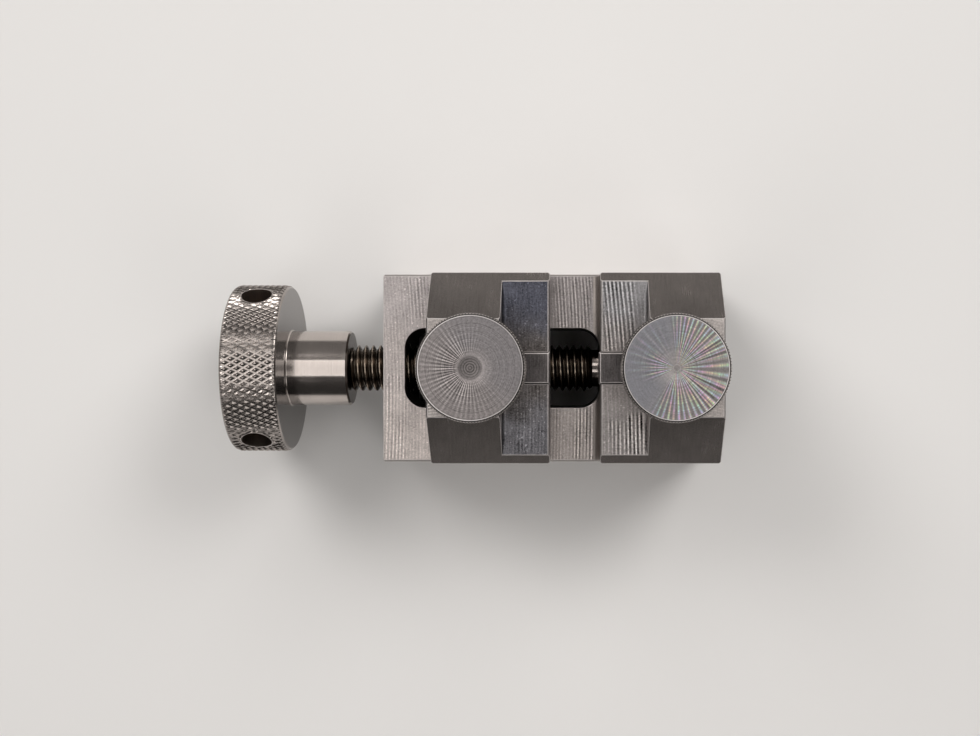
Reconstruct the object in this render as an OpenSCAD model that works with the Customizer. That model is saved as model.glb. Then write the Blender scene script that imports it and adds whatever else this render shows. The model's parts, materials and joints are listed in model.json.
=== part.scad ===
// Watch bracelet vice. A slotted base carries a fixed jaw, made in one piece with it, and a moving jaw
// that a lead screw draws along the slot. Each jaw has a stepped ledge with a key let into it, and a
// thumbscrew whose head hangs over the ledge.
// Millimetres, +Z up. X runs along the lead screw, from the hand knob to the fixed jaw. The origin is
// on the bench, under the middle of the whole tool.

/* [Base] */
// Length of the base, from its end wall to the back of the fixed jaw
body_l = 57.2; // [55:0.1:70]
// Width of the base and of both jaws
body_w = 32; // [30:0.5:40]
// Height of the base, from the bench to its top face
base_h = 21; // [21:0.5:26]
// Width of the slot that the tongue runs in
slot_w = 13.6; // [13:0.1:16]
// Radius in the corners of the slot, on the tongue and on the keeper plate
slot_r = 3.4; // [1:0.1:5]
// Thickness of the end wall, between the slot and the knob's end of the base
end_wall = 3.7; // [3:0.1:6]
// Width of the rebate in the underside, where the keeper plate runs
rebate_w = 20; // [18:0.5:24]
// Height of that rebate over the bench
rebate_h = 6; // [5.5:0.1:7]
// Radius at the foot of the fixed jaw, where it meets the top of the base
root_r = 1.5; // [0.5:0.1:3]
// Chamfer that breaks the machined edges
edge_c = 0.25; // [0.1:0.05:0.5]

/* [Jaws] */
// Length of the fixed jaw along X
fixed_jaw_l = 20.2; // [18:0.1:24]
// Length of the moving jaw along X
moving_jaw_l = 19.9; // [18:0.1:22]
// Open mouth between the jaws at rest
mouth_gap = 8.4; // [4:0.1:12]
// Height of both jaws over the top of the base
jaw_h = 13; // [11:0.5:15]
// Height of a jaw's upright side over the top of the base, up to its 45 degree slope
side_h = 5; // [4:0.5:7]
// Length of the stepped ledge, from the mouth to its wall
ledge_l = 7.9; // [6:0.1:8.5]
// Height of the ledge over the top of the base
ledge_h = 6.5; // [5:0.5:8]
// Radius where the ledge meets its wall
ledge_r = 0.7; // [0.2:0.1:1.5]

/* [Keys] */
// Width of the key in the middle of each ledge
key_w = 5.4; // [4:0.1:8]
// Depth of a keyway under its ledge
keyway_depth = 4.7; // [3:0.1:5]
// Rise of a key over its ledge
key_rise = 0.3; // [0.1:0.05:1]
// How far the fixed jaw's key stands out of the mouth
key_proud = 0.24; // [0:0.02:0.6]

/* [Tongue and keeper] */
// Step from the back of the moving jaw to its tongue
tongue_back = 3.9; // [2:0.1:5]
// Step from the mouth of the moving jaw to its tongue
tongue_front = 1.2; // [0.5:0.1:2]
// Thickness of the keeper plate
keeper_t = 4; // [2.5:0.1:4.5]
// Distance between the two keeper screws
keeper_pitch = 8; // [7:0.5:9]
// Thread diameter of the keeper screws
keeper_screw_d = 3; // [2:0.5:3]
// Head diameter of the keeper screws
keeper_head_d = 5.6; // [4.4:0.1:6]
// Length of the keeper screws, head included
keeper_screw_l = 8; // [7:0.5:8.5]

/* [Lead screw] */
// Height of the lead screw's axis over the bench
screw_z = 15; // [14.8:0.1:15.5]
// Outside diameter of the thread
screw_d = 8; // [6:0.5:8]
// Diameter of the plain journal in the fixed jaw
journal_d = 6.5; // [5.5:0.1:6.5]
// Length of the journal, from the end of the thread
journal_l = 15.2; // [12:0.1:17]
// How far short of the fixed jaw's mouth the thread ends
thread_stop = 1.2; // [0.8:0.1:3]
// Width of the retaining groove in the journal
groove_w = 2.6; // [2:0.1:4]
// Depth of the retaining groove
groove_depth = 0.75; // [0.5:0.05:1]
// Distance from the fixed jaw's mouth to the middle of the groove
groove_inset = 8; // [6:0.5:10]
// Length of the retainer's point between its thread and the journal
point_run_in = 0.4; // [0.2:0.1:1]
// Diameter of the plain shank in the hand knob
shank_d = 7; // [5:0.5:7]
// Length of that shank
shank_l = 14; // [8:0.5:16]

/* [Hand knob] */
// Diameter of the knurled rim
knob_d = 29; // [24:0.5:29.4]
// Thickness of the rim
knob_t = 9.4; // [8:0.1:14]
// Chamfer on the edges of the rim
knob_c = 0.5; // [0.2:0.1:1.5]
// Diameter of the hub
hub_d = 13; // [11:0.5:16]
// Length of the hub
hub_l = 10.5; // [8:0.5:16]
// Chamfer on the end of the hub
hub_c = 0.4; // [0.2:0.1:1]
// Length of open thread between the hub and the base
hub_gap = 6.2; // [2:0.1:12]
// Diameter of the tommy-bar holes in the rim
tommy_d = 5.2; // [3:0.1:6]
// Depth of the tommy-bar holes
tommy_depth = 7.5; // [4:0.5:8]
// Number of tommy-bar holes
tommy_count = 3; // [2:1:6]
// Thread diameter of the grub screw in the hub and of the retainer under the fixed jaw
grub_d = 4; // [3:0.5:5]

/* [Thumbscrews] */
// Diameter of the knurled head
thumb_d = 17.5; // [14:0.5:20]
// Height of the head
thumb_h = 5.6; // [3:0.1:8]
// Chamfer on the edges of the head
thumb_c = 0.35; // [0.1:0.05:0.8]
// Thread diameter of the stud
stud_d = 5; // [4:0.5:6]
// Length of the stud under the head
stud_l = 10; // [6:0.5:11]
// Distance from the fixed jaw's mouth to its thumbscrew
fixed_thumb_inset = 11.85; // [11:0.05:13]
// Distance from the moving jaw's mouth to its thumbscrew
moving_thumb_inset = 12.3; // [11:0.05:13]
// Diameter of the washer under the head
washer_d = 10; // [8:0.5:14]
// Thickness of that washer
washer_t = 0.5; // [0.3:0.1:1]

/* [Clearances] */
// Gap between the moving jaw and the faces that it slides on
slide_gap = 0.05; // [0.02:0.01:0.1]
// Gap over the keeper plate, and half the gap at its sides
keeper_gap = 0.1; // [0.05:0.05:0.3]
// Gap all round a shaft or a screw in its hole
bore_gap = 0.05; // [0.02:0.01:0.08]
// Gap all round the thread where it passes through the end wall
pass_gap = 0.3; // [0.2:0.05:0.6]
// Gap all round a stud in its washer, and round the retainer's point in its groove
loose_gap = 0.1; // [0.05:0.05:0.2]
// Depth of a tapped hole past the end of its screw
tap_run_out = 1.5; // [0.5:0.5:1.5]

/* [Hidden] */

// Facets of a full turn, and an overlap that lets a cut pass clear through a face
$fn = 96;
cut = 1;

// Colours
base_grey = [0.62, 0.58, 0.56];
jaw_grey = [0.52, 0.49, 0.48];
key_grey = [0.32, 0.30, 0.30];
knurl_grey = [0.48, 0.44, 0.42];
thread_grey = [0.38, 0.34, 0.31];
steel_black = [0.16, 0.15, 0.15];

// Places along X. The ends of the tool are counted from the fixed jaw's mouth first, to find its middle
right_reach = max(fixed_jaw_l, fixed_thumb_inset + thumb_d / 2);
left_reach = body_l - fixed_jaw_l + hub_gap + hub_l + knob_t;
fixed_mouth_x = (left_reach - right_reach) / 2;
moving_mouth_x = fixed_mouth_x - mouth_gap;
body_x1 = fixed_mouth_x + fixed_jaw_l;
body_x0 = body_x1 - body_l;
slot_x0 = body_x0 + end_wall;
slot_x1 = fixed_mouth_x;
hub_x1 = body_x0 - hub_gap;
rim_x1 = hub_x1 - hub_l;
knob_x0 = rim_x1 - knob_t;
thread_x1 = fixed_mouth_x - thread_stop;
journal_x1 = thread_x1 + journal_l;
groove_x = fixed_mouth_x + groove_inset;
grub_x = hub_x1 - hub_l / 2;
tongue_x0 = moving_mouth_x - moving_jaw_l + tongue_back;
tongue_x1 = moving_mouth_x - tongue_front;
tongue_x = (tongue_x0 + tongue_x1) / 2;
fixed_thumb_x = fixed_mouth_x + fixed_thumb_inset;
moving_thumb_x = moving_mouth_x - moving_thumb_inset;

// Heights over the bench
jaw_top_z = base_h + jaw_h;
side_top_z = base_h + side_h;
ledge_z = base_h + ledge_h;
keyway_z = ledge_z - keyway_depth;
moving_foot_z = base_h + slide_gap;
keeper_top_z = rebate_h - keeper_gap;
keeper_z0 = keeper_top_z - keeper_t;
tongue_top_z = (moving_foot_z + keyway_z) / 2;
head_z = jaw_top_z + washer_t;
stud_end_z = head_z - stud_l;

// Sizes that follow from others
top_w = body_w - 2 * (jaw_h - side_h);
tongue_w = slot_w - 2 * slide_gap;
keeper_w = rebate_w - 4 * keeper_gap;
keeper_head_h = (keeper_head_d - keeper_screw_d) / 2;
key_l = ledge_l;
point_d = groove_w - 2 * loose_gap;
point_l = groove_depth + bore_gap + point_run_in;
retainer_z1 = screw_z - journal_d / 2 + groove_depth - loose_gap;
retainer_sink = 1;
grub_l = (hub_d - shank_d) / 2 - bore_gap - hub_c;
screw_tip_c = 0.5;

// Carries a flat outline in Y and Z along X, from x0 to x1
module along_x(x0, x1) {
    translate([x0, 0, 0]) rotate([90, 0, 90]) linear_extrude(x1 - x0) children();
}

// Carries a flat outline in X and Z across the width w
module along_y(w) {
    rotate([90, 0, 0]) linear_extrude(w, center = true) children();
}

// Turns an outline of radius and place along X about the lead screw's axis
module turned_about_screw() {
    translate([0, 0, screw_z]) rotate([0, 90, 0]) rotate_extrude() children();
}

// A round bar about the lead screw's axis
module screw_bore(x0, x1, d) {
    translate([x0, 0, screw_z]) rotate([0, 90, 0]) cylinder(h = x1 - x0, d = d);
}

// The web left in an inside corner of radius r, with the floor along -X and the wall along +Y
module corner_web(r) {
    difference() {
        translate([-r, 0]) square(r);
        translate([-r, r]) circle(r);
    }
}

// A rectangle about the X axis with round corners, from x0 to x1
module round_slot(x0, x1, w, r) {
    translate([x0 + r, -w / 2]) square([x1 - x0 - 2 * r, w]);
    translate([x0, -w / 2 + r]) square([x1 - x0, w - 2 * r]);
    for (x = [x0 + r, x1 - r], y = [-w / 2 + r, w / 2 - r]) translate([x, y]) circle(r);
}

// Outline of a block that is w wide with its corners broken, from x0 to x1
module broken_plan(x0, x1, w, c) {
    polygon([
        [x0 + c, -w / 2], [x1 - c, -w / 2], [x1, -w / 2 + c], [x1, w / 2 - c],
        [x1 - c, w / 2], [x0 + c, w / 2], [x0, w / 2 - c], [x0, -w / 2 + c]
    ]);
}

// End view of a jaw over the height z0: upright sides, 45 degree slopes and a flat top
module jaw_end_view(z0) {
    polygon([
        [-body_w / 2, z0], [body_w / 2, z0], [body_w / 2, side_top_z], [top_w / 2, jaw_top_z],
        [-top_w / 2, jaw_top_z], [-body_w / 2, side_top_z]
    ]);
}

// Side view of a jaw of length l, with its mouth at X = 0 and its back on +X
module jaw_side_view(l, z0) {
    polygon([
        [0, z0], [l, z0], [l, jaw_top_z - edge_c], [l - edge_c, jaw_top_z],
        [ledge_l + edge_c, jaw_top_z], [ledge_l, jaw_top_z - edge_c], [ledge_l, ledge_z],
        [edge_c, ledge_z], [0, ledge_z - edge_c]
    ]);
    translate([ledge_l, ledge_z]) corner_web(ledge_r);
}

// A jaw from the height z0 up, with its ledge, its keyway and the tapped hole for its thumbscrew
module jaw_block(l, z0, thumb_inset) {
    difference() {
        intersection() {
            along_x(0, l) jaw_end_view(z0);
            along_y(body_w + cut) jaw_side_view(l, z0);
            linear_extrude(jaw_top_z + cut) broken_plan(0, l, body_w, edge_c);
        }
        translate([-cut, -key_w / 2, keyway_z]) cube([ledge_l + cut, key_w, keyway_depth + ledge_r + cut]);
        translate([thumb_inset, 0, stud_end_z - tap_run_out])
            cylinder(h = jaw_h + cut + stud_l, d = stud_d + 2 * bore_gap);
    }
}

// Puts a jaw that is drawn with its mouth at X = 0 and its back on +X in its place
module at_fixed_mouth() {
    translate([fixed_mouth_x, 0, 0]) children();
}

module at_moving_mouth() {
    translate([moving_mouth_x, 0, 0]) rotate([0, 0, 180]) children();
}

// The base without its slot: a bar with broken edges
module base_bar() {
    intersection() {
        linear_extrude(base_h) broken_plan(body_x0, body_x1, body_w, edge_c);
        along_x(body_x0, body_x1) polygon([
            [-body_w / 2 + edge_c, 0], [body_w / 2 - edge_c, 0], [body_w / 2, edge_c],
            [body_w / 2, base_h - edge_c], [body_w / 2 - edge_c, base_h],
            [-body_w / 2 + edge_c, base_h], [-body_w / 2, base_h - edge_c], [-body_w / 2, edge_c]
        ]);
    }
}

// Hole for the dog-point screw, square under the journal's groove
module retainer_hole() {
    translate([groove_x, 0, -cut]) cylinder(h = screw_z + cut, d = grub_d + 2 * bore_gap);
}

module vise_body() {
    color(base_grey) difference() {
        union() {
            base_bar();
            at_fixed_mouth() jaw_block(fixed_jaw_l, base_h - 2 * edge_c, fixed_thumb_inset);
            along_y(body_w - 2 * edge_c) translate([fixed_mouth_x, base_h]) corner_web(root_r);
        }
        translate([0, 0, -cut]) linear_extrude(base_h + root_r + 2 * cut)
            round_slot(slot_x0, slot_x1, slot_w, slot_r);
        translate([0, 0, -cut]) linear_extrude(rebate_h + cut)
            round_slot(slot_x0, slot_x1, rebate_w, slot_r);
        screw_bore(body_x0 - cut, slot_x0 + slot_r, screw_d + 2 * pass_gap);
        screw_bore(slot_x1 - cut, journal_x1 + tap_run_out, journal_d + 2 * bore_gap);
        retainer_hole();
    }
}

// Wedge that takes c off the lower edge of a mouth at X = 0, whose foot is at the height z0
module foot_relief(z0, c) {
    along_y(body_w + cut) polygon([[-cut, z0 - cut], [c + cut, z0 - cut], [-cut, z0 + c + cut]]);
}

// Jaw and tongue are one piece. The tongue fills the slot's width and is tapped for the lead screw. The
// edge under the mouth is cut back as far as the root radius reaches, so that the jaws can close
module moving_jaw() {
    color(jaw_grey) difference() {
        union() {
            at_moving_mouth() difference() {
                jaw_block(moving_jaw_l, moving_foot_z, moving_thumb_inset);
                foot_relief(moving_foot_z, root_r);
            }
            translate([0, 0, keeper_top_z]) linear_extrude(tongue_top_z - keeper_top_z)
                round_slot(tongue_x0, tongue_x1, tongue_w, slot_r);
        }
        screw_bore(tongue_x0 - cut, tongue_x1 + cut, screw_d + 2 * bore_gap);
        at_keeper_screws() translate([0, 0, keeper_z0 + keeper_head_h])
            cylinder(h = keeper_screw_l - keeper_head_h + bore_gap, d = keeper_screw_d + 2 * bore_gap);
    }
}

// A key with its upper edges broken, from the mouth back to the wall of the ledge
module jaw_key(proud) {
    intersection() {
        along_x(-proud, key_l) polygon([
            [-key_w / 2, keyway_z], [key_w / 2, keyway_z], [key_w / 2, ledge_z + key_rise - edge_c],
            [key_w / 2 - edge_c, ledge_z + key_rise], [-key_w / 2 + edge_c, ledge_z + key_rise],
            [-key_w / 2, ledge_z + key_rise - edge_c]
        ]);
        along_y(key_w + cut) polygon([
            [-proud, keyway_z], [key_l, keyway_z], [key_l, ledge_z + key_rise],
            [-proud + edge_c, ledge_z + key_rise], [-proud, ledge_z + key_rise - edge_c]
        ]);
    }
}

module fixed_jaw_key() {
    color(key_grey) at_fixed_mouth() jaw_key(key_proud);
}

module moving_jaw_key() {
    color(key_grey) at_moving_mouth() jaw_key(0);
}

module at_keeper_screws() {
    for (side = [-1, 1]) translate([tongue_x + side * keeper_pitch / 2, 0, 0]) children();
}

// Countersunk screw with its head down, from the height 0 up
module countersunk_screw(d, head_d, head_h, l) {
    rotate_extrude() polygon([[0, 0], [head_d / 2, 0], [d / 2, head_h], [d / 2, l], [0, l]]);
}

module keeper_plate() {
    color(base_grey) difference() {
        translate([0, 0, keeper_z0]) linear_extrude(keeper_t)
            round_slot(tongue_x0, tongue_x1, keeper_w, slot_r);
        at_keeper_screws() {
            translate([0, 0, keeper_z0 - cut])
                cylinder(h = keeper_t + 2 * cut, d = keeper_screw_d + 2 * bore_gap);
            translate([0, 0, keeper_z0 - cut]) cylinder(h = cut, d = keeper_head_d + 2 * bore_gap);
            translate([0, 0, keeper_z0]) cylinder(
                h = keeper_head_h,
                d1 = keeper_head_d + 2 * bore_gap,
                d2 = keeper_screw_d + 2 * bore_gap
            );
        }
    }
}

module keeper_screws() {
    color(steel_black) at_keeper_screws() translate([0, 0, keeper_z0])
        countersunk_screw(keeper_screw_d, keeper_head_d, keeper_head_h, keeper_screw_l);
}

// Shank for the knob, thread at its outside diameter, then the journal with its retaining groove
module lead_screw() {
    color(thread_grey) turned_about_screw() polygon([
        [0, hub_x1 - shank_l], [shank_d / 2 - screw_tip_c, hub_x1 - shank_l],
        [shank_d / 2, hub_x1 - shank_l + screw_tip_c], [shank_d / 2, hub_x1],
        [screw_d / 2, hub_x1], [screw_d / 2, thread_x1 - (screw_d - journal_d) / 2],
        [journal_d / 2, thread_x1],
        [journal_d / 2, groove_x - groove_w / 2], [journal_d / 2 - groove_depth, groove_x - groove_w / 2],
        [journal_d / 2 - groove_depth, groove_x + groove_w / 2], [journal_d / 2, groove_x + groove_w / 2],
        [journal_d / 2, journal_x1 - screw_tip_c], [journal_d / 2 - screw_tip_c, journal_x1],
        [0, journal_x1]
    ]);
}

// Dog-point set screw. Its point stands in the groove of the journal
module screw_retainer() {
    color(steel_black) translate([groove_x, 0, 0]) rotate_extrude() polygon([
        [0, retainer_sink], [grub_d / 2, retainer_sink], [grub_d / 2, retainer_z1 - point_l],
        [point_d / 2, retainer_z1 - point_l], [point_d / 2, retainer_z1], [0, retainer_z1]
    ]);
}

// Knurled rim and hub in one piece, with a blind bore for the shank
module hand_knob() {
    color(knurl_grey) difference() {
        turned_about_screw() polygon([
            [0, knob_x0], [knob_d / 2 - knob_c, knob_x0], [knob_d / 2, knob_x0 + knob_c],
            [knob_d / 2, rim_x1 - knob_c], [knob_d / 2 - knob_c, rim_x1], [hub_d / 2, rim_x1],
            [hub_d / 2, hub_x1 - hub_c], [hub_d / 2 - hub_c, hub_x1], [0, hub_x1]
        ]);
        screw_bore(hub_x1 - shank_l - tap_run_out, hub_x1 + cut, shank_d + 2 * bore_gap);
        for (i = [0 : tommy_count - 1])
            translate([knob_x0 + knob_t / 2, 0, screw_z]) rotate([180 + i * 360 / tommy_count, 0, 0])
                translate([0, 0, knob_d / 2 - tommy_depth]) cylinder(h = tommy_depth + cut, d = tommy_d);
        translate([grub_x, 0, screw_z - hub_d / 2 - cut])
            cylinder(h = hub_d / 2 + cut, d = grub_d + 2 * bore_gap);
    }
}

module knob_grub_screw() {
    color(steel_black) translate([grub_x, 0, screw_z - shank_d / 2 - bore_gap - grub_l])
        cylinder(h = grub_l, d = grub_d);
}

module thumb_washer() {
    difference() {
        translate([0, 0, jaw_top_z]) cylinder(h = washer_t, d = washer_d);
        translate([0, 0, jaw_top_z - cut])
            cylinder(h = washer_t + 2 * cut, d = stud_d + 2 * loose_gap);
    }
}

module thumbscrew() {
    rotate_extrude() polygon([
        [0, stud_end_z], [stud_d / 2 - screw_tip_c, stud_end_z], [stud_d / 2, stud_end_z + screw_tip_c],
        [stud_d / 2, head_z], [thumb_d / 2 - thumb_c, head_z], [thumb_d / 2, head_z + thumb_c],
        [thumb_d / 2, head_z + thumb_h - thumb_c], [thumb_d / 2 - thumb_c, head_z + thumb_h],
        [0, head_z + thumb_h]
    ]);
}

module fixed_thumb_washer() {
    color(base_grey) translate([fixed_thumb_x, 0, 0]) thumb_washer();
}

module fixed_jaw_thumbscrew() {
    color(knurl_grey) translate([fixed_thumb_x, 0, 0]) thumbscrew();
}

module moving_thumb_washer() {
    color(base_grey) translate([moving_thumb_x, 0, 0]) thumb_washer();
}

module moving_jaw_thumbscrew() {
    color(knurl_grey) translate([moving_thumb_x, 0, 0]) thumbscrew();
}

vise_body();
moving_jaw();
fixed_jaw_key();
moving_jaw_key();
keeper_plate();
keeper_screws();
lead_screw();
screw_retainer();
hand_knob();
knob_grub_screw();
fixed_thumb_washer();
fixed_jaw_thumbscrew();
moving_thumb_washer();
moving_jaw_thumbscrew();
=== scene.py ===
"""Looks of a small steel watch bracelet vice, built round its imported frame.

Lengths are in metres in the part's own frame: X along the lead screw, Z up, the bench at Z = 0.
The node graphs of the finishes count in millimetres. Turned pieces are drawn about a local Z axis,
where t is the place along it, and are then laid on their own axis.
"""
import json
import math

import bmesh
import bpy
import numpy as np
from mathutils import Matrix, Vector


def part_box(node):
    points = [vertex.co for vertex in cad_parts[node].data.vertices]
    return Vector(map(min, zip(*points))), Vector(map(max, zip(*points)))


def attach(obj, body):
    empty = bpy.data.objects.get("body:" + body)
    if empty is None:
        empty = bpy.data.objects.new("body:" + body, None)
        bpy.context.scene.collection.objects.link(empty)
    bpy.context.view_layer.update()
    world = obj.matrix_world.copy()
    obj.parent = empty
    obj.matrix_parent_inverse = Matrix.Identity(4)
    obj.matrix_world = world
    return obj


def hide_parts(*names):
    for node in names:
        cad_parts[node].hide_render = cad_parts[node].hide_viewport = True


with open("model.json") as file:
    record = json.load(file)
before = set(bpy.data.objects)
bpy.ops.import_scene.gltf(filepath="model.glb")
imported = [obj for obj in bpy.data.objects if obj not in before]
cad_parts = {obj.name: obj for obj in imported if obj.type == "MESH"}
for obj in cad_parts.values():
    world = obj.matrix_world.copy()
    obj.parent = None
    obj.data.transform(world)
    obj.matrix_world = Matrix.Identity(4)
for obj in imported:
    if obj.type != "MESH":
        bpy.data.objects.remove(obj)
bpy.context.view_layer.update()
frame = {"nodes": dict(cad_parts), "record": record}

MM = 0.001
TAU = 2 * math.pi
RECORD = frame["record"]
BODY_OF = {node: body for body, nodes in RECORD["behaviour"]["bodies"].items() for node in nodes}


def middle(node):
    """The middle of a node's box."""
    low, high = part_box(node)
    return (low + high) / 2


# Sizes that the shapes and the finishes below share. The rest comes from the frame
KNOB_LOW, KNOB_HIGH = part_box("hand_knob")
BODY_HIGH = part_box("vise_body")[1]
SCREW_LOW, SCREW_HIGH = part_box("lead_screw")
SCREW_Z = middle("hand_knob").z
SCREW_AXIS = (0, 0, SCREW_Z)
KNOB_R = (KNOB_HIGH.y - KNOB_LOW.y) / 2
KNOB_X0 = KNOB_LOW.x
HUB_X1 = KNOB_HIGH.x
RIM_T = 9.4 * MM
HUB_R = 6.5 * MM
BASE_TOP = 21 * MM
LEDGE_TOP = 27.5 * MM
JAW_TOP = BODY_HIGH.z
LEDGE_WALL_X = {
    "vise_body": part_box("fixed_jaw_key")[1].x,
    "moving_jaw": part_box("moving_jaw_key")[0].x
}
FIXED_THUMB = middle("fixed_jaw_thumbscrew")
MOVING_THUMB = middle("moving_jaw_thumbscrew")


# Node graphs of the finishes
class Graph:
    """One material's nodes. A value is a number, a tuple or another node's output."""

    def __init__(self, name):
        self.material = bpy.data.materials.new(name)
        self.material.use_nodes = True
        self.tree = self.material.node_tree
        self.shader = self.tree.nodes["Principled BSDF"]

    def put(self, socket, value):
        if isinstance(value, bpy.types.NodeSocket):
            self.tree.links.new(value, socket)
        else:
            socket.default_value = value

    def node(self, kind, values=None, **settings):
        made = self.tree.nodes.new("ShaderNode" + kind)
        for key, value in settings.items():
            setattr(made, key, value)
        for key, value in (values or {}).items():
            self.put(made.inputs[key], value)
        return made

    def math(self, operation, a, b=0.0, c=0.0):
        return self.node("Math", {0: a, 1: b, 2: c}, operation=operation).outputs[0]

    def add(self, *terms):
        total = terms[0]
        for term in terms[1:]:
            total = self.math("ADD", total, term)
        return total

    def times(self, a, b):
        return self.math("MULTIPLY", a, b)

    def spread(self, value, low, high, to_low=0.0, to_high=1.0):
        """The value between low and high, carried smoothly to the range from to_low to to_high."""
        ends = {"From Min": low, "From Max": high, "To Min": to_low, "To Max": to_high}
        made = self.node("MapRange", {"Value": value, **ends}, interpolation_type="SMOOTHSTEP")
        return made.outputs["Result"]

    def wave(self, phase):
        """The sine of a phase, carried to the range from 0 to 1."""
        return self.times(self.add(self.math("SINE", phase), 1.0), 0.5)

    def vector(self, operation, a, b=(0, 0, 0)):
        """The result of a vector operation, which is a number for a length or a dot product."""
        result = "Value" if operation in ("LENGTH", "DOT_PRODUCT") else "Vector"
        return self.node("VectorMath", {0: a, 1: b}, operation=operation).outputs[result]

    def joined(self, x, y=0.0, z=0.0):
        return self.node("CombineXYZ", {0: x, 1: y, 2: z}).outputs[0]

    def split(self, vector):
        return self.node("SeparateXYZ", {0: vector}).outputs

    def place(self, middle_point=(0, 0, 0)):
        """Object coordinates in millimetres, counted from a point given in metres."""
        here = self.node("TexCoord").outputs["Object"]
        return self.stretched(self.vector("SUBTRACT", here, tuple(middle_point)), (1 / MM,) * 3)

    def stretched(self, vector, scale):
        return self.vector("MULTIPLY", vector, scale)

    def noise(self, vector, scale=1.0, detail=2.0, roughness=0.5, spot=0.0):
        """Noise from 0 to 1. The spot moves it to another part of the same pattern."""
        vector = self.vector("ADD", vector, (spot, spot * 0.7, -spot))
        values = {"Vector": vector, "Scale": scale, "Detail": detail, "Roughness": roughness}
        return self.node("TexNoise", values).outputs["Fac"]

    def around(self, value, gain):
        """A noise value set round 0 in place of 0.5, times a gain."""
        return self.times(self.math("SUBTRACT", value, 0.5), gain)

    def towards(self, heading, direction, low, high):
        """1 where a heading lies close to a direction, and 0 where it lies away from it."""
        return self.spread(self.vector("DOT_PRODUCT", heading, (*direction, 0)), low, high)

    def tint(self, colour, value):
        """The colour times a value that lies round 1."""
        grey = self.node("CombineColor", {0: value, 1: value, 2: value}).outputs[0]
        return self.blend((*colour, 1), grey, 1.0, "MULTIPLY")

    def within(self, value, low, high, soft):
        """1 where the value lies between low and high, with soft ends."""
        after = self.spread(value, low - soft, low + soft)
        return self.times(after, self.spread(value, high - soft, high + soft, 1.0, 0.0))

    def blend(self, first, second, factor, kind="MIX"):
        """Two colours mixed by a factor from 0 to 1."""
        mix = self.node("Mix", data_type="RGBA", blend_type=kind)
        self.put(mix.inputs["Factor"], factor)
        self.put(mix.inputs[6], first)
        self.put(mix.inputs[7], second)
        return mix.outputs[2]

    def finish(self, colour, roughness, height=None, depth=0.0):
        """Links the steel's colour, roughness and height, whose whole depth is in metres."""
        self.shader.inputs["Metallic"].default_value = 1.0
        self.put(self.shader.inputs["Base Color"], colour)
        self.put(self.shader.inputs["Roughness"], roughness)
        if height is not None:
            bump = self.node("Bump", {"Height": height, "Strength": 1.0, "Distance": depth})
            self.put(self.shader.inputs["Normal"], bump.outputs[0])
        return self.material


# Face-milled steel: the gain of its marks outside their zones, and a line's mean over its pitch
FAINT_MARKS = 0.14
LINE_MEAN = 0.36


def milled_steel(
    name, colour, roughness, pitch, centre, zones, marks=0.5, depth=0.014, grain=0.8, away=None,
    painted_shadow=None
):
    """Face-milled steel. The cutter's marks are arcs round the centre, pitch millimetres apart.

    zones lists where they stand out, as (x0, x1, y0, y1, gain) in millimetres, and elsewhere they
    are faint. away is the two colours of painted light and shade that the surface turns to away
    from the screw, towards +Y and towards -Y, lighter on one side and darker on the other as the
    lamps fall there. The last argument is (x, tone), a painted shadow: the tone that the surface
    has past a place, where the jaws shade it."""
    g = Graph(name)
    place = g.place()
    x, y, _ = g.split(place)
    reach = g.vector("LENGTH", g.vector("SUBTRACT", g.joined(x, y), (*centre, 0)))
    wander = g.times(g.noise(g.stretched(place, (0.40, 0.05, 0.40)), detail=1.0), pitch * 0.6)
    lines = g.math("POWER", g.wave(g.times(g.add(reach, wander), TAU / pitch)), 2.0)
    own = g.noise(g.joined(g.times(reach, 0.8 / pitch), g.times(y, 0.10)), detail=1.0, spot=13.0)
    streaks = g.noise(g.stretched(place, (4.5, 0.4, 1.0)), detail=3.0, roughness=0.65, spot=3.0)
    grains = g.noise(place, scale=3.4, detail=3.0, roughness=0.75, spot=11.0)
    clouds = g.noise(place, scale=0.22, detail=2.0, spot=17.0)
    blotches = g.noise(place, scale=0.7, detail=3.0, roughness=0.6, spot=21.0)
    ragged = g.around(blotches, 3.0)
    strength = FAINT_MARKS
    for x0, x1, y0, y1, gain in zones:
        inside = g.within(g.add(x, ragged), x0, x1, 0.7)
        inside = g.times(inside, g.within(g.add(y, ragged), y0, y1, 0.9))
        strength = g.math("MAXIMUM", strength, g.times(inside, gain))
    strength = g.times(strength, g.spread(own, 0.32, 0.62, 0.35, 1.25))
    line = g.times(g.times(lines, g.spread(grains, 0.30, 0.60, 0.5, 1.35)), strength)
    sparks = g.spread(g.noise(place, scale=2.4, detail=1.0, spot=31.0), 0.64, 0.78)
    tone = g.add(
        1.0, g.times(line, marks), g.times(strength, -LINE_MEAN * marks),
        g.around(streaks, grain * 0.5), g.around(grains, grain), g.around(clouds, grain * 0.4),
        g.around(blotches, grain * 0.4), g.times(sparks, grain * 0.6)
    )
    # Painted shadow: the tone falls past a place along X, where the jaws shade the base.
    if painted_shadow:
        shadow_x, shadow_tone = painted_shadow
        tone = g.times(tone, g.spread(x, shadow_x - 0.5, shadow_x + 0.5, 1.0, shadow_tone))
    shade = g.tint(colour, tone)
    # Painted light and shade: the colour turns lighter on one side and darker on the other, towards
    # +Y and -Y, as the lamps fall there.
    for way, painted_side_colour in zip((1, -1), away or ()):
        share = g.spread(g.add(g.times(y, way), g.around(clouds, 9.0)), 2.0, 11.0)
        shade = g.blend(shade, g.tint(painted_side_colour, tone), share)
    height = g.add(line, g.times(streaks, 0.12), g.times(grains, 0.16))
    rough = g.add(roughness, g.around(grains, 0.12), g.around(streaks, 0.08))
    return g.finish(shade, rough, height, depth * MM)


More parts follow.
